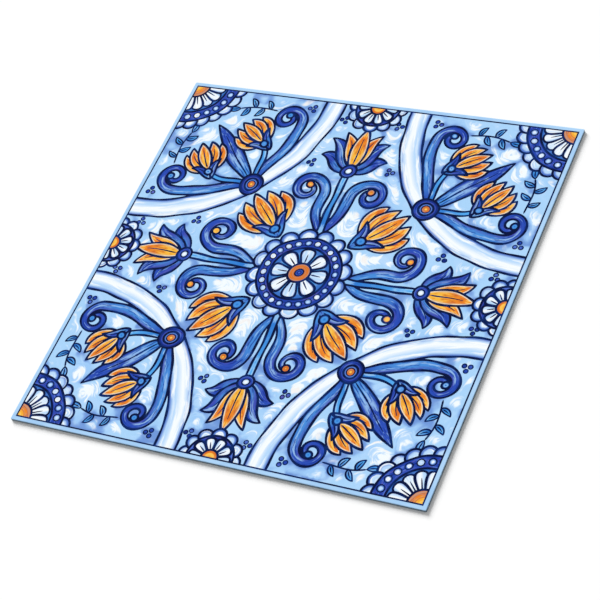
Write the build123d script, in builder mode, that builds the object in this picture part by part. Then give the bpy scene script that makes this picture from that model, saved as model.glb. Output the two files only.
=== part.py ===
# A square peel and stick wall tile: one printed vinyl sheet with an adhesive back.
# Frame: origin at the centre of the adhesive back, +Z out of the printed face, sides along X and Y.

import os

from build123d import *

# Driving dimensions, in millimetres
side = 150.0  # across the flats, the same both ways
thickness = 1.0  # adhesive back to printed face
corner_radius = 0.4  # plan radius that the cutting die leaves at the four corners
rim_roll = 0.15  # radius that the die rolls over along the rim of the printed face

# The rolled rim takes half of the sheet's thickness, and of its corners' radius, at the most
rim_radius = min(rim_roll, thickness / 2, corner_radius / 2)

# Vinyl tile: cut to its outline, square at the adhesive back and rolled over at the printed face
with BuildPart() as vinyl_tile:
    with BuildSketch(Plane.XY):
        RectangleRounded(side, side, corner_radius)
    extrude(amount=thickness)
    printed_face = vinyl_tile.faces().sort_by(Axis.Z)[-1]
    fillet(printed_face.outer_wire().edges(), radius=rim_radius)

vinyl_tile.part.label = "vinyl_tile"

os.makedirs("parts", exist_ok=True)
export_step(vinyl_tile.part, "parts/vinyl_tile.step")
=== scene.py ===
# Peel and stick wall tile: one printed PVC sheet, drawn and finished around the sheet's packed box.
import math

import bpy
import numpy as np
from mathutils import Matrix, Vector
from mathutils.geometry import delaunay_2d_cdt
from mathutils.kdtree import KDTree


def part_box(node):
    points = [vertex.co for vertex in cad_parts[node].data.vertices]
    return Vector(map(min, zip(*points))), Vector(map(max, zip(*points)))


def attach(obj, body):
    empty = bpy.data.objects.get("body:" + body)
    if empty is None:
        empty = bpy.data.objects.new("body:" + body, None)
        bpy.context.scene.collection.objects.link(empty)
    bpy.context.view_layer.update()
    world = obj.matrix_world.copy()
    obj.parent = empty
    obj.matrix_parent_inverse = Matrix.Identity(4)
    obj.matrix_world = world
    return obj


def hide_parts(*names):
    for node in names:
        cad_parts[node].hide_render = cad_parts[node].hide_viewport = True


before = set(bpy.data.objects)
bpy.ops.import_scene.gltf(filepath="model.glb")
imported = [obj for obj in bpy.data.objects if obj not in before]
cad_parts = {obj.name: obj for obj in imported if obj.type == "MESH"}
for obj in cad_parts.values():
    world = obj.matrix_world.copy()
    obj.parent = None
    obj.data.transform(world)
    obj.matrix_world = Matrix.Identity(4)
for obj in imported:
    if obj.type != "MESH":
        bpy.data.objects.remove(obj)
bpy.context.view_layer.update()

mm = 0.001  # the picture is drawn in millimetres, the scene is in metres
lowCorner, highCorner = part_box("vinyl_tile")

sheet = {
    "halfSide": (highCorner.x - lowCorner.x) / 2 / mm,
    "thickness": (highCorner.z - lowCorner.z) / mm,
    "cornerRadius": 0.4,  # plan radius left by the cutting die
    "rimRoll": 0.15,  # radius rolled over along the printed face
    "rimSteps": 4,
    "edgeSpacing": 3.0,  # between the points along a straight side
    "sliver": 1e-4,  # triangles no wider than this, where outlines cross an axis, are merged away
}

picture = {
    "keyline": 73.35,  # centre of the tile to the middle of the line around the picture
    "outline": 0.84,  # usual width of an inked outline
    "fineLine": 0.55,  # veins and the line around the picture
    "thinLine": 0.5,  # around the smallest dots
    "petalRim": 0.34,  # pale line left inside the outline of an ochre petal
    "bleed": 5.0,  # how far the frame is drawn past its eighth of the tile
    "swell": 0.24,  # how much an outline thickens and thins, as a share of its width
    "swellLength": 11.0,
    "pointSpacing": 0.75,  # along an outline
    "washSpacing": 0.85,  # between the points inside the bare wash
    "easings": 12,  # rounds off the ridge halfway between two lines, for the brushed white
    "sway": 0.24,  # how far the hand wanders from the drawing
    "swayLength": 26.0,
    "calm": 12.0,  # width of the band along the frame where the wander dies away
    "snap": 2e-3,  # points as close as this to an axis, or to each other, are one
    "seed": 7,
}


# Brush work: paths, widths and the closed outlines that they make

def point(distance, degrees, centre=(0.0, 0.0)):
    angle = math.radians(degrees)
    return np.array([centre[0] + distance * math.cos(angle), centre[1] + distance * math.sin(angle)])


def onDiagonal(along, aside=0.0):
    return np.array([along + aside, along - aside]) / math.sqrt(2)


def stepOff(foot, heading, along, aside):
    return point(along, heading, point(aside, heading + 90, foot))


def rayPath(centre, degrees, near, far):
    return np.array([point(r, degrees, centre) for r in np.linspace(near, far, 30)])


def arcPath(centre, radius, fromAngle, toAngle):
    count = max(6, int(abs(math.radians(toAngle - fromAngle)) * radius / 0.5))
    return np.array([point(radius, a, centre) for a in np.linspace(fromAngle, toAngle, count)])


def bendPath(start, heading, end, endHeading, pull=(0.4, 0.4)):
    start, end = np.array(start, float), np.array(end, float)
    span = np.linalg.norm(end - start)
    first = start + point(pull[0] * span, heading)
    last = end - point(pull[1] * span, endHeading)
    t = np.linspace(0, 1, 60)[:, None]
    return start * (1 - t) ** 3 + 3 * first * t * (1 - t) ** 2 + 3 * last * t * t * (1 - t) + end * t ** 3


def scrollPath(start, heading, eye, radius, tight, entry, sweep, pull=(0.4, 0.4)):  # a lead, then a volute
    turns = np.linspace(0, 1, 90)
    curl = np.array([point(radius * (tight / radius) ** t, entry + sweep * t, eye) for t in turns])
    step = curl[1] - curl[0]
    lead = bendPath(start, heading, curl[0], math.degrees(math.atan2(step[1], step[0])), pull)
    return np.vstack([lead, curl[1:]])


def pathLengths(path):
    return np.r_[0, np.cumsum(np.linalg.norm(np.diff(path, axis=0), axis=1))]


def alongPath(path, shares):
    lengths = pathLengths(path)
    at = np.asarray(shares) * lengths[-1]
    return np.stack([np.interp(at, lengths, path[:, 0]), np.interp(at, lengths, path[:, 1])], -1)


def evenShares(path):
    return np.linspace(0, 1, max(5, int(round(pathLengths(path)[-1] / picture["pointSpacing"])) + 1))


def tipShares(path):  # closer together towards both ends
    return (1 - np.cos(math.pi * np.linspace(0, 1, max(16, len(evenShares(path)))))) / 2


def leftNormals(path):
    along = np.gradient(path, axis=0)
    along /= np.maximum(np.linalg.norm(along, axis=1), 1e-9)[:, None]
    return np.stack([-along[:, 1], along[:, 0]], 1)


def strokeLoop(spine, half):  # closed outline around a stroke, with round ends
    side = leftNormals(spine) * half[:, None]
    ends = []
    for end, first in ((-1, -90), (0, 90)):
        facing = math.degrees(math.atan2(side[end][1], side[end][0])) - 90
        turns = np.linspace(first, first + 180, 9)[1:-1]
        ends.append(np.array([point(half[end], facing + turn, spine[end]) for turn in turns]))
    loop = np.vstack([spine - side, ends[0], (spine + side)[::-1], ends[1]])
    return loop[np.linalg.norm(loop - np.roll(loop, 1, axis=0), axis=1) > 0.03]


def growLoop(loop, amount, swell=0.0):
    back = loop - np.roll(loop, 1, axis=0)
    ahead = np.roll(loop, -1, axis=0) - loop
    run = np.cumsum(np.linalg.norm(back, axis=1))
    back /= np.linalg.norm(back, axis=1)[:, None]
    ahead /= np.linalg.norm(ahead, axis=1)[:, None]
    before = np.stack([back[:, 1], -back[:, 0]], 1)
    after = np.stack([ahead[:, 1], -ahead[:, 0]], 1)
    mitre = (before + after) / np.maximum(1 + (before * after).sum(1), 0.25)[:, None]
    turns = max(1, round(run[-1] / picture["swellLength"]))
    pulse = 1 + swell * np.sin(2 * math.pi * turns * run / run[-1] + loop[0].sum())
    return loop + mitre * (amount * pulse)[:, None]


# Paint: each coat lies over the ones before it

coats = []


def coat(ink, loop, spine=None, half=None):
    coats.append({"ink": ink, "loop": loop, "spine": spine, "half": half})


def paintStroke(ink, path, shares, half, line, rim):
    spine = alongPath(path, shares)
    loop = strokeLoop(spine, half)
    coat("navy", growLoop(loop, line / 2, picture["swell"]))
    if rim:
        coat("rim", growLoop(loop, -line / 2))
    coat(ink, growLoop(loop, -line / 2 - rim), spine, half)


def ribbon(ink, path, widths, line=picture["outline"]):  # widths at even steps, eased into each other
    shares = evenShares(path)
    half = np.interp(shares, np.linspace(0, 1, len(widths)), widths) / 2
    reach = max(1, len(shares) // 12)
    easing = np.ones(2 * reach + 1) / (2 * reach + 1)
    half = np.convolve(np.pad(half, reach, mode="edge"), easing, "valid")
    paintStroke(ink, path, shares, half, line, 0.0)


def leaf(ink, path, width, line=picture["outline"], rim=0.0, belly=0.85):  # pointed at both ends
    shares = tipShares(path)
    paintStroke(ink, path, shares, width / 2 * np.sin(math.pi * shares ** belly) ** 0.8, line, rim)


def petal(ink, path, width, line=picture["outline"], rim=0.0, neck=0.15):  # narrow foot, round tip
    shares = tipShares(path)
    half = width / 1.8 * (neck + (1 - neck) * shares ** 0.8) * np.sqrt(1 - shares ** 6)
    paintStroke(ink, path, shares, half, line, rim)


def inkLine(path, width=picture["fineLine"], taper=(0.3, 0.3)):
    shares = evenShares(path)
    swell = np.clip(np.minimum(shares / taper[0], (1 - shares) / taper[1]), 0, 1)
    coat("navy", strokeLoop(alongPath(path, shares), width / 2 * (0.3 + 0.7 * np.sqrt(swell))))


def vein(path, start=0.15, end=0.75):  # a line up the middle of a leaf or petal
    inkLine(alongPath(path, np.linspace(start, end, 40)), taper=(0.1, 0.8))


def ringLoop(centre, radius):
    count = max(14, int(2 * math.pi * radius / picture["pointSpacing"]))
    return np.array([point(radius, a, centre) for a in np.linspace(0, 360, count, endpoint=False)])


def dot(ink, centre, radius, line=picture["outline"]):
    coat("navy", ringLoop(centre, radius + line / 2))
    coat(ink, ringLoop(centre, radius - line / 2))


def boxLoop(left, bottom, right, top):
    corners = np.array([(left, bottom), (right, bottom), (right, top), (left, top), (left, bottom)], float)
    return alongPath(corners, np.linspace(0, 1, 160))[:-1]


# Motifs, drawn for the eighth of the tile between the right-hand axis and the diagonal

corner = np.array([picture["keyline"], picture["keyline"]])  # the straps are struck from the corners

strap = {
    "radius": 57.0,
    "width": 7.6,
    "span": (214, 277),  # from past the diagonal to past the frame
    "clasp": 4.4,
    "claspRings": (0.58, 0.34),  # white ring and ochre eye, as shares of the clasp
}


def drawStrap():
    ribbon("white", arcPath(corner, strap["radius"], *strap["span"]), [strap["width"], strap["width"]])


def drawClasp():
    middle = onDiagonal(math.hypot(*corner) - strap["radius"])
    ring, eye = strap["claspRings"]
    dot("cobalt", middle, strap["clasp"])
    dot("white", middle, strap["clasp"] * ring)
    dot("ochre", middle, strap["clasp"] * eye, picture["thinLine"])


heartScroll = {
    "foot": (19.4, 1.4),
    "heading": 32,
    "eye": (34.6, 11.8),
    "curl": (7.4, 2.0, -105, 455),  # radius at first and last, entry and sweep
    "widths": [2.4, 3.4, 4.0, 3.8, 3.4, 2.8, 2.3, 1.8],
    "bead": 1.5,
}


def drawHeartScroll():
    path = scrollPath(heartScroll["foot"], heartScroll["heading"], heartScroll["eye"], *heartScroll["curl"])
    ribbon("ribbon", path, heartScroll["widths"])
    dot("ochre", path[-1], heartScroll["bead"])


palmette = {
    "leaves": [  # ink, foot on the axis, lean, tip, lean at the tip, width, rim
        ("ribbon", 44.0, 68, (50.0, 12.4), 100, 5.2, 0.0),
        ("ribbon", 45.0, 48, (57.4, 10.8), 74, 5.4, 0.0),
        ("ochre", 46.5, 26, (61.0, 6.4), 40, 4.8, picture["petalRim"]),
    ],
    "aside": 0.4,  # of the leaves' feet
    "pull": (0.5, 0.45),  # how long a leaf keeps its lean at the foot and at the tip
    "heart": (45.0, 63.4, 5.8),  # foot, tip, width
    "stem": (16.0, 46.0),
    "stemWidths": [2.3, 1.9, 2.5],
    "bead": 2.7,
    "beadBack": 0.6,  # how far the bead sits behind the heart's foot
    "beadEye": 0.45,  # share of the bead
}


def drawPalmette():
    ribbon("azure", rayPath((0, 0), 0, *palmette["stem"]), palmette["stemWidths"])
    for ink, foot, lean, tip, tipLean, width, rim in palmette["leaves"]:
        path = bendPath((foot, palmette["aside"]), lean, tip, tipLean, palmette["pull"])
        leaf(ink, path, width, rim=rim)
        vein(path)
    near, far, width = palmette["heart"]
    path = rayPath((0, 0), 0, near, far)
    leaf("ochre", path, width, rim=picture["petalRim"])
    vein(path)
    middle = (near - palmette["beadBack"], 0.0)
    dot("cobalt", middle, palmette["bead"])
    dot("white", middle, palmette["bead"] * palmette["beadEye"], picture["thinLine"])


tulip = {
    # tip along and aside, lean at the foot and at the tip, width
    "petals": [(14.6, 8.2, 56, -6, 6.2), (17.4, 4.2, 32, -8, 6.0)],
    "petalPull": (0.45, 0.4),
    "heart": (18.8, 6.0),
    "sepals": (-4.6, 5.4, 6.8, 3.8),  # how far behind the foot, tip along and aside, width
    "sepalLeans": (22, 62),  # at the foot and at the tip
    "sepalPull": (0.5, 0.4),
    "bead": 1.9,
}


def drawTulip(foot, heading, size):
    for along, aside, lean, tipLean, width in tulip["petals"]:
        for side in (1, -1):
            tip = stepOff(foot, heading, along * size, side * aside * size)
            path = bendPath(foot, heading + side * lean, tip, heading + side * tipLean, tulip["petalPull"])
            leaf("ochre", path, width * size, rim=picture["petalRim"], belly=1.0)
            vein(path)
    length, width = tulip["heart"]
    path = rayPath(foot, heading, 0, length * size)
    leaf("ochre", path, width * size, rim=picture["petalRim"], belly=1.0)
    vein(path)
    behind, along, aside, width = tulip["sepals"]
    lean, tipLean = tulip["sepalLeans"]
    for side in (1, -1):
        start = stepOff(foot, heading, behind * size, 0)
        tip = stepOff(foot, heading, along * size, side * aside * size)
        path = bendPath(start, heading + side * lean, tip, heading + side * tipLean, tulip["sepalPull"])
        leaf("ribbon", path, width * size)
        vein(path)
    dot("azure", foot, tulip["bead"] * size)


innerTulip = {"foot": 23.0, "size": 0.97}


def drawInnerTulip():
    drawTulip(onDiagonal(innerTulip["foot"]), 45, innerTulip["size"])


bouquet = {
    "foot": (51.4, 35.8),
    "heading": 57.0,
    "size": 0.76,
    "blade": (48.0, 80.0, 6.4),  # near end and tip along the diagonal, width
    "stem": (0.6, 16, -24, 1.9),  # aside at the clasp, heading there, turn at the flower, width
    "stemPull": (0.4, 0.5),
}


def drawBouquet():
    tied = math.hypot(*corner) - strap["radius"]
    aside, heading, turn, width = bouquet["stem"]
    endHeading = bouquet["heading"] + turn
    stem = bendPath(onDiagonal(tied, aside), heading, bouquet["foot"], endHeading, bouquet["stemPull"])
    ribbon("azure", stem, [width, width])
    near, far, width = bouquet["blade"]
    path = rayPath((0, 0), 45, near, far)
    leaf("ribbon", path, width)
    vein(path, 0.1, 0.8)
    drawTulip(bouquet["foot"], bouquet["heading"], bouquet["size"])


runner = {
    "foot": (34.0, 33.0),
    "heading": -14,
    "eye": (63.4, 31.8),
    "curl": (5.9, 1.8, -96, 445),
    "widths": [2.2, 3.4, 3.8, 3.8, 3.5, 3.0, 2.5, 2.0, 1.7],
    "bead": 1.35,
}


def drawRunner():
    path = scrollPath(runner["foot"], runner["heading"], runner["eye"], *runner["curl"])
    ribbon("ribbon", path, runner["widths"])
    dot("azure", path[-1], runner["bead"])


tendril = {
    "path": ((66.4, 37.0), 84, (65.6, 52.0), 112),  # start and heading, end and heading
    "line": 0.66,
    "leaflets": [  # share of the stalk, heading, length, bow
        (0.22, 28, 4.2, -20),
        (0.40, 148, 4.6, 20),
        (0.62, 34, 4.4, -20),
        (0.78, 156, 4.6, 20),
        (1.0, 98, 5.0, 14),
    ],
    "leafletWidth": 0.44,  # share of its length
    "leafletLine": 0.6,
    "trefoils": [(69.4, 24.2), (66.3, 10.4), (46.2, 15.0)],
    "trefoil": 0.76,  # radius of one dot
    "trefoilSpread": 1.55,  # from the middle to a dot, in radii
    "trefoilLine": 0.42,
}


def drawTendril():
    stalk = bendPath(*tendril["path"])
    inkLine(stalk, tendril["line"], (0.05, 0.05))
    for at, heading, length, bow in tendril["leaflets"]:
        foot = alongPath(stalk, at)
        path = bendPath(foot, heading + bow, point(length, heading, foot), heading - bow)
        leaf("azure", path, length * tendril["leafletWidth"], tendril["leafletLine"])
        vein(path)
    size = tendril["trefoil"]
    for place in tendril["trefoils"]:
        for turn in (90, 210, 330):
            middle = point(size * tendril["trefoilSpread"], turn, place)
            dot("cobalt", middle, size, tendril["trefoilLine"])


def drawWhitePetals(centre, angles, near, far, width):
    for angle in angles:
        path = rayPath(centre, angle, near, far)
        petal("white", path, width)
        vein(path, 0.2, 0.7)


medallion = {
    "radius": 14.8,
    "scallops": 16,
    "scallop": 3.2,
    "scallopOut": 0.6,  # how far past the edge the scallops are centred
    "pearls": 24,
    "pearl": 1.15,
    "pearlLine": 0.45,
    "inner": 10.6,
    "petals": (2.6, 0.6, 6.0),  # from the middle, short of the inner edge, width
    "eye": 3.8,
    "pupil": 0.38,  # share of the eye
}


def drawMedallion():
    centre, radius = (0.0, 0.0), medallion["radius"]
    for k in range(medallion["scallops"]):
        place = point(radius + medallion["scallopOut"], 360 / medallion["scallops"] * (k + 0.5))
        dot("white", place, medallion["scallop"])
    dot("cobalt", centre, radius)
    for k in range(medallion["pearls"]):
        place = point((radius + medallion["inner"]) / 2, 360 / medallion["pearls"] * (k + 0.5))
        dot("white", place, medallion["pearl"], medallion["pearlLine"])
    dot("azure", centre, medallion["inner"])
    near, short, width = medallion["petals"]
    drawWhitePetals(centre, range(0, 360, 45), near, medallion["inner"] - short, width)
    dot("ochre", centre, medallion["eye"])
    dot("cobalt", centre, medallion["eye"] * medallion["pupil"], picture["thinLine"])


halfRose = {
    "radius": 8.2,
    "scallop": 2.5,
    "scallopOut": 0.3,
    "petals": (2.0, 0.8, 4.0),  # from the middle, short of the edge, width
    "eye": 2.9,
}


def drawHalfRose():
    centre, radius = (picture["keyline"], 0.0), halfRose["radius"]
    for k in range(7):
        dot("white", point(radius + halfRose["scallopOut"], 90 + 30 * k, centre), halfRose["scallop"])
    dot("cobalt", centre, radius)
    near, short, width = halfRose["petals"]
    drawWhitePetals(centre, range(90, 271, 36), near, radius - short, width)
    dot("ochre", centre, halfRose["eye"])


cornerRose = {
    "radius": 17.2,
    "scallop": 3.0,
    "scallopOut": 0.4,
    "pearl": 1.25,
    "inner": 12.6,
    "petals": (3.2, 0.8, 5.0),  # from the corner, short of the inner edge, width
    "eye": 5.2,
}


def drawCornerRose():
    radius, inner = cornerRose["radius"], cornerRose["inner"]
    for k in range(7):
        dot("white", point(radius + cornerRose["scallopOut"], 180 + 15 * k, corner), cornerRose["scallop"])
    dot("cobalt", corner, radius)
    for k in range(6):
        place = point((radius + inner) / 2, 189 + 14.4 * k, corner)
        dot("white", place, cornerRose["pearl"], picture["thinLine"])
    dot("azure", corner, inner)
    near, short, width = cornerRose["petals"]
    drawWhitePetals(corner, [180 + 22.5 * k for k in range(5)], near, inner - short, width)
    dot("ochre", corner, cornerRose["eye"])


def drawFrame():
    edge, half = picture["keyline"], picture["fineLine"] / 2
    bleed = picture["bleed"]
    beyond = sheet["halfSide"] + bleed
    coat("margin", boxLoop(edge, -bleed, beyond, beyond))
    coat("navy", boxLoop(edge - half, -bleed, edge + half, beyond))


drawStrap()
drawRunner()
drawTendril()
drawHeartScroll()
drawPalmette()
drawInnerTulip()
drawBouquet()
drawClasp()
drawMedallion()
drawHalfRose()
drawCornerRose()
drawFrame()
print("picture drawn:", len(coats), "coats")


# The printed face: all outlines of one eighth cut into a flat mesh, then turned and mirrored to eight

def windsRound(spots, loop):
    x, y = spots.T[:, :, None]
    (x0, y0), (x1, y1) = loop.T, np.roll(loop, -1, axis=0).T
    side = (x1 - x0) * (y - y0) - (x - x0) * (y1 - y0)
    rising = (y0 <= y) & (y1 > y) & (side > 0)
    falling = (y0 > y) & (y1 <= y) & (side < 0)
    return rising.sum(1) > falling.sum(1)


def insideBox(spots, loop):
    return np.flatnonzero(((spots > loop.min(0)) & (spots < loop.max(0))).all(1))


def facePoint(degreesRound):  # the top face's rounded corner, inside the rolled rim
    core = sheet["halfSide"] - sheet["cornerRadius"]
    return point(sheet["cornerRadius"] - sheet["rimRoll"], degreesRound, (core, core))


def eighthBorder():
    arc = np.array([facePoint(a) for a in np.linspace(0, 45, 4)])
    count = int(arc[0][1] / sheet["edgeSpacing"])
    straight = np.stack([np.full(count, arc[0][0]), np.linspace(0, arc[0][1], count, endpoint=False)], 1)
    return np.vstack([[(0.0, 0.0)], straight, arc])


def topCoats(spots):  # which coat shows at each spot, -1 for the bare wash
    owner = np.full(len(spots), -1)
    for index, layer in enumerate(coats):
        near = insideBox(spots, layer["loop"])
        if len(near):
            owner[near[windsRound(spots[near], layer["loop"])]] = index
    return owner


def washPoints(border):  # a grid over the bare wash, for its distance to the lines
    pitch = picture["washSpacing"]
    rows = []
    for k, y in enumerate(np.arange(pitch / 2, border[:, 1].max(), pitch * math.sqrt(3) / 2)):
        x = np.arange(y + pitch * (0.4 + k % 2 / 2), picture["keyline"] - 0.5, pitch)
        rows.append(np.stack([x, np.full(len(x), y)], 1))
    grid = np.vstack(rows)
    return grid[topCoats(grid) < 0]


def cutEighth():
    border = eighthBorder()
    verts, edges = [], []

    def addRun(run, closed):
        first = len(verts)
        verts.extend(Vector(p) for p in run)
        near = (run[:, 1] > -1.5) & (run[:, 1] < run[:, 0] + 2)  # in the eighth or just outside it
        for k in range(len(run) if closed else len(run) - 1):
            if near[k] or near[(k + 1) % len(run)]:
                edges.append((first + k, first + (k + 1) % len(run)))

    addRun(border, True)
    for layer in coats:
        addRun(layer["loop"], True)
        if layer["spine"] is not None:
            addRun(layer["spine"], False)
    verts.extend(Vector(p) for p in washPoints(border))
    found = delaunay_2d_cdt(verts, edges, [], 0, 1e-3, False)
    spots = np.array([v[:] for v in found[0]])
    faces = np.array(found[2])
    kept = windsRound(spots[faces].mean(1), border)
    used, faces = np.unique(faces[kept], return_inverse=True)
    spots, faces = spots[used], faces.reshape(-1, 3)
    # Exactly on the axis or the diagonal, so that the copies meet
    spots[np.abs(spots[:, 1]) < picture["snap"], 1] = 0
    onLine = np.abs(spots[:, 0] - spots[:, 1]) < picture["snap"]
    spots[onLine] = spots[onLine].mean(1)[:, None]
    return spots, faces


def strokePlaces(spots, layer):  # along and aside in mm, share of the length, across from -1 to 1
    if layer["spine"] is None:
        middle = layer["loop"].mean(0)
        reach = np.linalg.norm(layer["loop"] - middle, axis=1).max()
        away = spots - middle
        out = np.linalg.norm(away, axis=1)
        return np.stack([away[:, 0], out, out / reach, out / reach], 1)
    spine, lengths = layer["spine"], pathLengths(layer["spine"])
    run = np.diff(spine, axis=0)
    share = ((spots[:, None] - spine[:-1]) * run).sum(2) / (run ** 2).sum(1)
    share = share.clip(0, 1)
    gap = spots[:, None] - (spine[:-1] + share[:, :, None] * run)
    best = (gap ** 2).sum(2).argmin(1)
    pick = np.arange(len(spots))
    gap, share, run = gap[pick, best], share[pick, best], run[best]
    along = lengths[best] + share * np.linalg.norm(run, axis=1)
    half = layer["half"][best] * (1 - share) + layer["half"][best + 1] * share
    side = np.sign(run[:, 0] * gap[:, 1] - run[:, 1] * gap[:, 0])
    aside = side * np.linalg.norm(gap, axis=1)
    across = (aside / np.maximum(half, 0.15)).clip(-1, 1)
    return np.stack([along, aside, along / lengths[-1], across], 1)


def outlineGaps(spots, faces, owner):  # distance from each point to the nearest inked line
    inked = np.array([index >= 0 and coats[index]["ink"] == "navy" for index in owner])
    pairs = faces[inked][:, [0, 1, 1, 2, 2, 0]].reshape(-1, 2)
    steps = np.linspace(0, 1, 5)[:, None, None]
    samples = (spots[pairs[:, 0]] * (1 - steps) + spots[pairs[:, 1]] * steps).reshape(-1, 2)
    samples = np.unique(samples.round(2), axis=0)
    tree = KDTree(len(samples))
    for index, spot in enumerate(samples):
        tree.insert((spot[0], spot[1], 0.0), index)
    tree.balance()
    gaps = np.array([tree.find((x, y, 0.0))[2] for x, y in spots])
    gaps[np.unique(faces[inked])] = 0
    sides = np.sort(faces[:, [0, 1, 1, 2, 2, 0]].reshape(-1, 2), axis=1)
    left, right = np.unique(sides, axis=0).T
    here, there = np.r_[left, right], np.r_[right, left]
    for _ in range(picture["easings"]):  # each point halfway to the mean of its neighbours
        means = np.bincount(here, gaps[there]) / np.bincount(here)
        gaps = np.where(gaps > 0, (gaps + means) / 2, 0)
    return gaps


def sway(spots):  # the slow wander of a hand, none at the frame
    inside = np.clip((picture["keyline"] - np.abs(spots).max(1)) / picture["calm"], 0, 1)[:, None]
    x, y = (2 * math.pi * spots / picture["swayLength"]).T
    drift = [np.sin(x + 1.3 * np.sin(0.61 * y)) + 0.6 * np.sin(1.7 * y + 0.4),
             np.sin(y + 1.1 * np.sin(0.53 * x + 2.0)) + 0.6 * np.sin(1.9 * x + 1.1)]
    return spots + picture["sway"] * inside * np.stack(drift, 1)


def strokeTones():  # a random number for each stroke of each eighth, shared where it crosses into the next
    tones = np.random.default_rng(picture["seed"]).random((8, len(coats) + 1))
    for index, layer in enumerate(coats):
        x, y = layer["loop"].T
        if y.min() < 0 or (y - x).max() > 0:
            tones[:, index] = tones[0, index]
    return tones


inkNames = ["ground", "margin", "white", "cobalt", "azure", "ribbon", "ochre", "rim", "navy"]


def printedFace():
    spots, faces = cutEighth()
    owner = topCoats(spots[faces].mean(1))
    gaps = outlineGaps(spots, faces, owner)
    inked = np.array([inkNames.index(coats[index]["ink"]) if index >= 0 else 0 for index in owner])
    strokes = np.zeros((len(faces), 3, 4))
    for index in np.unique(owner[owner >= 0]):
        mine = owner == index
        strokes[mine] = strokePlaces(spots[faces[mine]].reshape(-1, 2), coats[index]).reshape(-1, 3, 4)
    tones = strokeTones()

    made = {"spots": [], "faces": [], "strokes": [], "inks": [], "gaps": [], "tones": []}
    for turn in range(4):
        angle = math.pi / 2 * turn
        turned = np.array([[math.cos(angle), math.sin(angle)], [-math.sin(angle), math.cos(angle)]])
        for mirrored in (False, True):
            order = [0, 2, 1] if mirrored else [0, 1, 2]
            made["faces"].append(faces[:, order] + len(spots) * len(made["spots"]))
            made["strokes"].append(strokes[:, order])
            made["spots"].append((spots[:, ::-1] if mirrored else spots) @ turned)
            made["inks"].append(inked)
            made["gaps"].append(gaps)
            made["tones"].append(tones[2 * turn + mirrored][owner])
    made = {name: np.concatenate(parts) for name, parts in made.items()}
    cells = (made["spots"] / picture["snap"]).round()
    _, first, welded = np.unique(cells, axis=0, return_index=True, return_inverse=True)
    faces = welded.reshape(-1)[made["faces"]]
    whole = (faces[:, 0] != faces[:, 1]) & (faces[:, 1] != faces[:, 2]) & (faces[:, 2] != faces[:, 0])
    made["spots"] = sway(made["spots"][first])
    made["gaps"] = made["gaps"][first]
    for name in ("strokes", "inks", "tones"):
        made[name] = made[name][whole]
    made["faces"] = faces[whole]
    return made


def outwardFromCore(x, y):  # the plan direction in which the rounded edge faces
    core = sheet["halfSide"] - sheet["cornerRadius"]
    inner = Vector((max(-core, min(core, x)), max(-core, min(core, y))))
    return inner, (Vector((x, y)) - inner).normalized()


def makeTile():
    made = printedFace()
    top = sheet["thickness"] * mm
    mesh = bpy.data.meshes.new("printed_tile")
    places = np.column_stack([made["spots"] * mm, np.full(len(made["spots"]), top)])
    mesh.from_pydata(places.tolist(), [], made["faces"].tolist())
    mesh.polygons.foreach_set("material_index", made["inks"].astype(np.int32))
    strokes, across = made["strokes"][:, :, :3].ravel(), made["strokes"][:, :, 3].ravel()
    mesh.attributes.new("stroke", "FLOAT_VECTOR", "CORNER").data.foreach_set("vector", strokes)
    mesh.attributes.new("across", "FLOAT", "CORNER").data.foreach_set("value", across)
    mesh.attributes.new("tone", "FLOAT", "CORNER").data.foreach_set("value", np.repeat(made["tones"], 3))
    mesh.attributes.new("outlineGap", "FLOAT", "POINT").data.foreach_set("value", made["gaps"])
    tile = bpy.data.objects.new("printed_tile", mesh)
    bpy.context.collection.objects.link(tile)
    print("printed face:", len(mesh.polygons), "triangles")

    bpy.ops.object.select_all(action="DESELECT")
    tile.select_set(True)
    bpy.context.view_layer.objects.active = tile
    roll = sheet["rimRoll"]
    turns = np.linspace(0, math.pi / 2, sheet["rimSteps"] + 1)[1:]
    rings = [(roll * math.sin(turn), roll * (1 - math.cos(turn))) for turn in turns]  # out and down
    rings.append((roll, sheet["thickness"]))
    inset = sheet["cornerRadius"] - roll
    bpy.ops.object.mode_set(mode="EDIT")
    bpy.ops.mesh.select_mode(type="EDGE")
    bpy.ops.mesh.select_all(action="SELECT")
    bpy.ops.mesh.dissolve_degenerate(threshold=sheet["sliver"] * mm)
    bpy.ops.mesh.select_all(action="DESELECT")
    bpy.ops.mesh.select_non_manifold(
        use_wire=False, use_multi_face=False, use_non_contiguous=False, use_verts=False)
    for out, down in rings:
        bpy.ops.mesh.extrude_edges_move()
        bpy.ops.object.mode_set(mode="OBJECT")
        for vert in mesh.vertices:
            if vert.select:
                inner, facing = outwardFromCore(vert.co.x / mm, vert.co.y / mm)
                place = inner + facing * (inset + out)
                vert.co = (place.x * mm, place.y * mm, top - down * mm)
        bpy.ops.object.mode_set(mode="EDIT")
    bpy.ops.mesh.edge_face_add()
    bpy.ops.object.mode_set(mode="OBJECT")
    return tile


tile = makeTile()
mesh = tile.data
shadedEdgeInk, paperInk = len(inkNames), len(inkNames) + 1
for face in mesh.polygons:
    if face.normal.z < -0.9:
        face.material_index = paperInk
    # the side walls take the edge ink, whose dark grey is painted shade
    elif abs(face.normal.z) < 0.1:
        face.material_index = shadedEdgeInk
    elif face.normal.z < 0.9999:
        face.material_index = inkNames.index("margin")
        face.use_smooth = True


unfolding = {  # shares of the map
    "border": 0.01,
    "size": 0.92,  # of the print
    "strip": (0.945, 0.045),  # left side and width, for the underside
}


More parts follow.
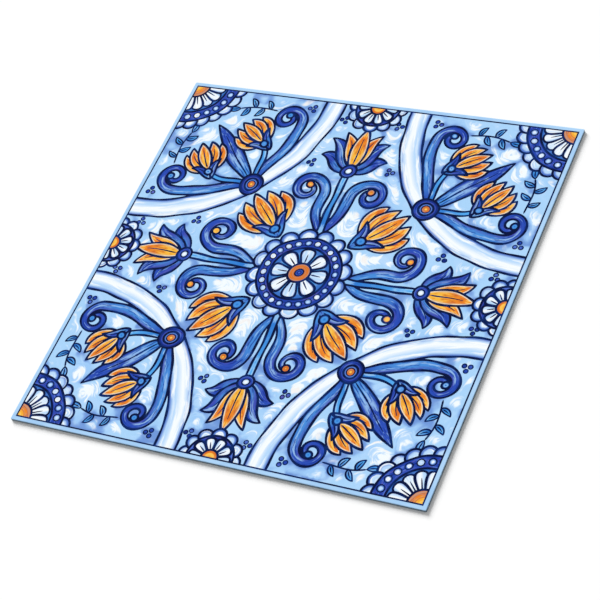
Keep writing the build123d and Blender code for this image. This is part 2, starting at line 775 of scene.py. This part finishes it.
def unfoldSheet():  # for baking: the print flat, its edges folded out, the underside in a strip beside it
    roll, top, half = sheet["rimRoll"], sheet["thickness"], sheet["halfSide"]
    spots = np.array([vert.co for vert in mesh.vertices]) / mm
    core = half - sheet["cornerRadius"]
    outward = spots[:, :2] - spots[:, :2].clip(-core, core)
    outward /= np.maximum(np.linalg.norm(outward, axis=1), 1e-9)[:, None]
    down = (top - spots[:, 2]).clip(0)
    turn = np.arccos(1 - np.minimum(down, roll) / roll)
    longer = roll * (turn - np.sin(turn)) + np.maximum(down - roll, 0)
    reach = half + longer.max()
    border, size = unfolding["border"], unfolding["size"]
    left, width = unfolding["strip"]
    flat = border + size * ((spots[:, :2] + outward * longer[:, None]) / reach + 1) / 2
    strip = (left, border) + (width, size) * (spots[:, :2] / half + 1) / 2
    places = mesh.uv_layers.new(name="OFBake").data
    for face in mesh.polygons:
        chart = strip if face.material_index == paperInk else flat
        for loop in face.loop_indices:
            places[loop].uv = chart[mesh.loops[loop].vertex_index]


unfoldSheet()


# Materials: inks printed on white PVC under a clear matt laminate

laminate = {
    "shader": {"IOR": 1.53, "Specular IOR Level": 0.06},  # PVC film, so matt that the darks stay deep
    "roughness": (0.50, 0.62),
    "grain": 0.4,  # mm, the satin emboss, drawn coarser than it is so that it shows
    "relief": 0.002,  # mm
}

inks = {
    # Pale blue wash, white brushed along the lines a little way off them, a soft blue shade beside some
    "ground": {
        "name": "pale_blue_ink",
        "base": "#aad4f9",
        "streak": (14.0, 2.0),  # length and width, mm
        "patch": 11.0,  # mm
        "layers": [  # colour, most cover, then what it follows and over what range
            ("#9dc9f7", 0.8, ("patches", 0.44, 0.60)),
            ("#f4fbff", 1.0, ("scumble", 3.7, 4.5), ("scumble", 7.2, 6.2)),
            ("#b0d6fb", 0.9, ("bristles", 0.48, 0.40)),
            ("#f6e6dc", 0.4, ("bristles", 0.56, 0.64), ("scumble", 3.7, 4.5)),
            ("#5f86d0", 0.8, ("outlineGap", 0.7, 0.1), ("patches", 0.52, 0.60)),
        ],
    },
    # The same blue, plain, in the margin and over the rolled rim
    "margin": {
        "name": "margin_blue_ink",
        "base": "#aed4f7",
        "patch": 6.0,
        "layers": [("#a2cbf3", 0.8, ("patches", 0.40, 0.64))],
    },
    # White body colour, streaked along the strap and shaded blue towards its edges
    "white": {
        "name": "brushed_white_ink",
        "base": "#f7fcff",
        "streak": (14.0, 1.3),
        "layers": [
            ("#b4d8fb", 1.0, ("across", -0.3, 0.5), ("streaks", 0.40, 0.52)),
            ("#bcdbfb", 0.9, ("off", 0.20, 0.65), ("flecks", 0.44, 0.54)),
            ("#4f76cb", 1.0, ("off", 0.56, 0.92), ("streaks", 0.38, 0.52)),
        ],
    },
    # Cobalt, dark and light where the brush ran, with a violet cast
    "cobalt": {
        "name": "brushed_cobalt_ink",
        "base": "#2443a8",
        "streak": (6.0, 1.0),
        "layers": [
            ("#5676d0", 0.9, ("streaks", 0.52, 0.60)),
            ("#6a63b6", 0.6, ("flecks", 0.54, 0.64)),
            ("#13256f", 0.9, ("streaks", 0.47, 0.38)),
        ],
    },
    # Azure, lighter towards the tip and darker along the edges
    "azure": {
        "name": "brushed_azure_ink",
        "base": "#2f78cf",
        "streak": (7.0, 1.2),
        "layers": [
            ("#55aaf0", 1.0, ("share", 0.1, 0.9)),
            ("#a3d2f9", 0.7, ("streaks", 0.52, 0.62)),
            ("#2a55b3", 0.8, ("off", 0.50, 1.0)),
        ],
    },
    # Cobalt that turns to azure and back along the stroke, light in the middle and violet off it
    "ribbon": {
        "name": "cobalt_to_azure_ink",
        "base": "#2b4db4",
        "streak": (9.0, 1.0),
        "layers": [
            ("#488cda", 1.0, ("wave", 0.0, 1.0)),
            ("#9cc6f2", 0.8, ("streaks", 0.51, 0.59), ("off", 0.80, 0.40)),
            ("#4a4fae", 0.8, ("across", 0.0, 0.7), ("flecks", 0.44, 0.54)),
            ("#1b3592", 0.8, ("flecks", 0.46, 0.39)),
            ("#1b3592", 0.85, ("off", 0.60, 1.0)),
        ],
    },
    # Yellow at the foot of a petal and orange at its tip, smudged with grey
    "ochre": {
        "name": "brushed_ochre_ink",
        "base": "#f9b93f",
        "streak": (5.0, 0.9),
        "layers": [
            ("#ec8528", 1.0, ("share", 0.25, 0.7)),
            ("#fcc95c", 0.9, ("streaks", 0.53, 0.60)),
            ("#c9652a", 0.85, ("streaks", 0.47, 0.39)),
            ("#bf9f8b", 0.7, ("off", 0.40, 0.9), ("flecks", 0.47, 0.57)),
        ],
    },
    # The paper-pale line left inside a petal's outline
    "rim": {
        "name": "petal_rim_ink",
        "base": "#f0dcc2",
        "patch": 3.0,
        "layers": [("#c9b3a4", 0.9, ("patches", 0.42, 0.64))],
    },
    # Near-black navy of the drawn lines, thinner where the pen ran dry
    "navy": {
        "name": "navy_line_ink",
        "base": "#020f3a",
        "patch": 4.0,
        "layers": [("#0c2c6c", 0.8, ("patches", 0.44, 0.66))],
    },
    # Cut edge of the PVC sheet: grey, darkened as painted shade on the thin walls that face away from the
    # lamp
    "edge": {
        "name": "cut_pvc_edge_painted_shade",
        "base": "#70828f",
        "patch": 1.5,
        "layers": [("#5e717f", 0.8, ("patches", 0.40, 0.62))],
    },
    # Release paper on the adhesive side, off-white with a faint fibre mottle
    "paper": {
        "name": "release_paper",
        "base": "#f4f2ea",
        "patch": 1.2,
        "layers": [("#e4e0d3", 0.8, ("patches", 0.42, 0.64))],
        "roughness": (0.75, 0.90),
    },
}


def linear(hexColour):
    parts = [int(hexColour[k:k + 2], 16) / 255 for k in (1, 3, 5)]
    return [c / 12.92 if c <= 0.04045 else ((c + 0.055) / 1.055) ** 2.4 for c in parts] + [1.0]


def addNode(tree, kind, settings, links):
    node = tree.nodes.new(kind)
    for name, value in settings.items():
        setattr(node, name, value)
    sockets = [socket for socket in node.inputs if socket.enabled]
    for name, value in links.items():
        socket = sockets[name] if isinstance(name, int) else next(s for s in sockets if s.name == name)
        if isinstance(value, bpy.types.Node):
            value = next(output for output in value.outputs if output.enabled)
        if isinstance(value, bpy.types.NodeSocket):
            tree.links.new(value, socket)
        else:
            socket.default_value = linear(value) if isinstance(value, str) else value
    return node


brush = {
    "drag": 6.0,  # mm, how far the edge of the brushed white strays
    "bends": (0.6 / mm, 1.2, 4.0),  # how much the middle, the lines nearby and a slow drift bend a streak
    "fineness": {"brushing": 1.0, "bristles": 1.7, "streaks": 1.0, "flecks": 1.7},
    "scatter": (37, 19, 11),  # keeps the streaks of one stroke unlike the next one's
    "swing": 5.4,  # radians, the slow wave along a stroke
    "swingStart": (-0.6, 1.8),  # radians, the earliest start and the spread of starts
}


def readSignal(tree, signal, ink):  # what a layer of an ink follows over the print
    if signal in ("tone", "across", "outlineGap"):
        return addNode(tree, "ShaderNodeAttribute", {"attribute_name": signal}, {}).outputs["Fac"]
    if signal == "place":
        return addNode(tree, "ShaderNodeTexCoord", {}, {}).outputs["Object"]
    if signal == "stroke":  # along and aside in mm, and the share of the length
        return addNode(tree, "ShaderNodeAttribute", {"attribute_name": signal}, {}).outputs["Vector"]
    if signal == "share":  # from the foot of a stroke to its tip
        stroke = readSignal(tree, "stroke", ink)
        return addNode(tree, "ShaderNodeSeparateXYZ", {}, {0: stroke}).outputs["Z"]
    if signal == "off":  # from the middle of a stroke to its edge, on either side
        across = readSignal(tree, "across", ink)
        return addNode(tree, "ShaderNodeMath", {"operation": "ABSOLUTE"}, {0: across})
    if signal == "scumble":  # distance to the lines, roughened by the brush
        brushing, gap = readSignal(tree, "brushing", ink), readSignal(tree, "outlineGap", ink)
        roughened = {0: brushing, 1: brush["drag"], 2: gap}
        return addNode(tree, "ShaderNodeMath", {"operation": "MULTIPLY_ADD"}, roughened)
    if signal == "wave":  # a slow swing along the stroke, begun anywhere
        earliest, spread = brush["swingStart"]
        begun = {0: readSignal(tree, "tone", ink), 1: spread, 2: earliest}
        phase = addNode(tree, "ShaderNodeMath", {"operation": "MULTIPLY_ADD"}, begun)
        swung = {0: readSignal(tree, "share", ink), 1: brush["swing"], 2: phase}
        swing = addNode(tree, "ShaderNodeMath", {"operation": "MULTIPLY_ADD"}, swung)
        return addNode(tree, "ShaderNodeMath", {"operation": "SINE"}, {0: swing})
    if signal in ("patches", "grain"):
        size = ink["patch"] if signal == "patches" else laminate["grain"]
        mottle = {"Vector": readSignal(tree, "place", ink), "Scale": 1 / (size * mm), "Detail": 2.0}
        return addNode(tree, "ShaderNodeTexNoise", {}, mottle)

    length, width = ink["streak"]
    fine = brush["fineness"][signal]
    if signal in ("brushing", "bristles"):  # streaks that sweep round the middle, bent by the lines nearby
        run = readSignal(tree, "place", ink)
        stretch = (fine / (length * mm), fine / (length * mm), 0)
        reach = addNode(tree, "ShaderNodeVectorMath", {"operation": "LENGTH"}, {0: run})
        gap, drift = readSignal(tree, "outlineGap", ink), readSignal(tree, "patches", ink)
        pulls = addNode(tree, "ShaderNodeCombineXYZ", {}, {"X": reach, "Y": gap, "Z": drift})
        bent = {0: pulls, 1: brush["bends"]}
        lane = addNode(tree, "ShaderNodeVectorMath", {"operation": "DOT_PRODUCT"}, bent)
        offset = {0: (0, 0, fine / width), 1: lane}
    else:  # streaks along the stroke itself
        run = readSignal(tree, "stroke", ink)
        stretch = (fine / length, fine / width, 0)
        along, aside, apart = brush["scatter"]
        offset = {0: (along, aside, apart * fine), 1: readSignal(tree, "tone", ink)}
    start = addNode(tree, "ShaderNodeVectorMath", {"operation": "SCALE"}, offset)
    drawn = {0: run, 1: stretch, 2: start}
    flow = addNode(tree, "ShaderNodeVectorMath", {"operation": "MULTIPLY_ADD"}, drawn)
    hairs = {"Vector": flow, "Scale": 1.0, "Detail": 3.0, "Roughness": 0.6}
    return addNode(tree, "ShaderNodeTexNoise", {}, hairs)


def mixInk(ink):
    material = bpy.data.materials.new(ink["name"])
    material.use_nodes = True
    tree = material.node_tree
    shader = tree.nodes["Principled BSDF"]
    for socket, value in laminate["shader"].items():
        shader.inputs[socket].default_value = value
    colour = ink["base"]
    for over, amount, *fades in ink["layers"]:
        for signal, start, end in fades:  # each fade scales the one before it
            follows = readSignal(tree, signal, ink)
            span = {"Value": follows, "From Min": start, "From Max": end, "To Max": amount}
            amount = addNode(tree, "ShaderNodeMapRange", {"interpolation_type": "SMOOTHSTEP"}, span)
        mixed = {"Factor": amount, "A": colour, "B": over}
        colour = addNode(tree, "ShaderNodeMix", {"data_type": "RGBA"}, mixed)
    smooth, rough = ink.get("roughness", laminate["roughness"])
    grain = readSignal(tree, "grain", ink)
    sheen = addNode(tree, "ShaderNodeMapRange", {}, {"Value": grain, "To Min": smooth, "To Max": rough})
    emboss = addNode(tree, "ShaderNodeBump", {}, {"Distance": laminate["relief"] * mm, "Height": grain})
    tree.links.new(next(output for output in colour.outputs if output.enabled), shader.inputs["Base Color"])
    tree.links.new(sheen.outputs["Result"], shader.inputs["Roughness"])
    tree.links.new(emboss.outputs["Normal"], shader.inputs["Normal"])
    mesh.materials.append(material)


for inkName in inkNames + ["edge", "paper"]:
    mixInk(inks[inkName])

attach(tile, "root")
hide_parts("vinyl_tile")
print("tile made:", len(mesh.polygons), "faces")


# Floor, light and camera

studio = {
    "floorSize": 6.0,  # metres
    "floorGap": 0.02,  # mm below the underside, so that the two don't share a plane
    "skyLight": 0.40,
    "keyLight": 0.62,
    "keyElevation": 25.0,  # degrees
    "keyAzimuth": 138.5,
    "keyAngle": 28.0,
}

bpy.ops.object.select_all(action="DESELECT")
bpy.ops.mesh.primitive_plane_add(size=studio["floorSize"], location=(0, 0, -studio["floorGap"] * mm))
floor = bpy.context.active_object
floor.name = "studio_floor"
floorPaint = bpy.data.materials.new("white_floor")
floorPaint.use_nodes = True
floorShader = floorPaint.node_tree.nodes["Principled BSDF"]
floorShader.inputs["Base Color"].default_value = linear("#ffffff")
floorShader.inputs["Roughness"].default_value = 1.0
floorShader.inputs["Specular IOR Level"].default_value = 0.0
floor.data.materials.append(floorPaint)

world = bpy.data.worlds.new("studio_sky")
bpy.context.scene.world = world
world.use_nodes = True
sky = world.node_tree
sky.nodes["Background"].inputs["Color"].default_value = linear("#ffffff")
rays = addNode(sky, "ShaderNodeLightPath", {}, {}).outputs
seen = rays["Is Camera Ray"]
for kind in ("Is Glossy Ray", "Is Transmission Ray"):
    seen = addNode(sky, "ShaderNodeMath", {"operation": "MAXIMUM"}, {0: seen, 1: rays[kind]})
levels = {"Value": seen, "To Min": studio["skyLight"], "To Max": 1.0}  # white where it is seen
strength = addNode(sky, "ShaderNodeMapRange", {}, levels)
sky.links.new(strength.outputs["Result"], sky.nodes["Background"].inputs["Strength"])

elevation = math.radians(studio["keyElevation"])
toLamp = Vector((*point(math.cos(elevation), studio["keyAzimuth"]), math.sin(elevation)))
lamp = bpy.data.lights.new("window_light", "SUN")
lamp.energy = studio["keyLight"] * math.pi / math.sin(elevation)
lamp.angle = math.radians(studio["keyAngle"])
lampObject = bpy.data.objects.new("window_light", lamp)
lampObject.rotation_euler = toLamp.to_track_quat("Z", "Y").to_euler()
lampObject.visible_glossy = False  # as through a polarising filter, so the laminate shows no glare
bpy.context.collection.objects.link(lampObject)

view = {
    "stand": (289.5, -315.3, 480.6),  # mm
    "aim": (4.92, -10.18, 1.0),
    "roll": 25.24,  # degrees
    "lens": 117.0,
}
camera = bpy.data.cameras.new("photo_view")
camera.lens = view["lens"]
camera.sensor_width = 36.0
camera.clip_end = 20.0
cameraObject = bpy.data.objects.new("photo_view", camera)
stand, aim = Vector(view["stand"]) * mm, Vector(view["aim"]) * mm
cameraObject.location = stand
cameraObject.rotation_euler = (stand - aim).to_track_quat("Z", "Y").to_euler()
cameraObject.rotation_euler.rotate_axis("Z", math.radians(-view["roll"]))
bpy.context.collection.objects.link(cameraObject)
bpy.context.scene.camera = cameraObject
bpy.context.scene.view_settings.view_transform = "Standard"

print("scene ready")
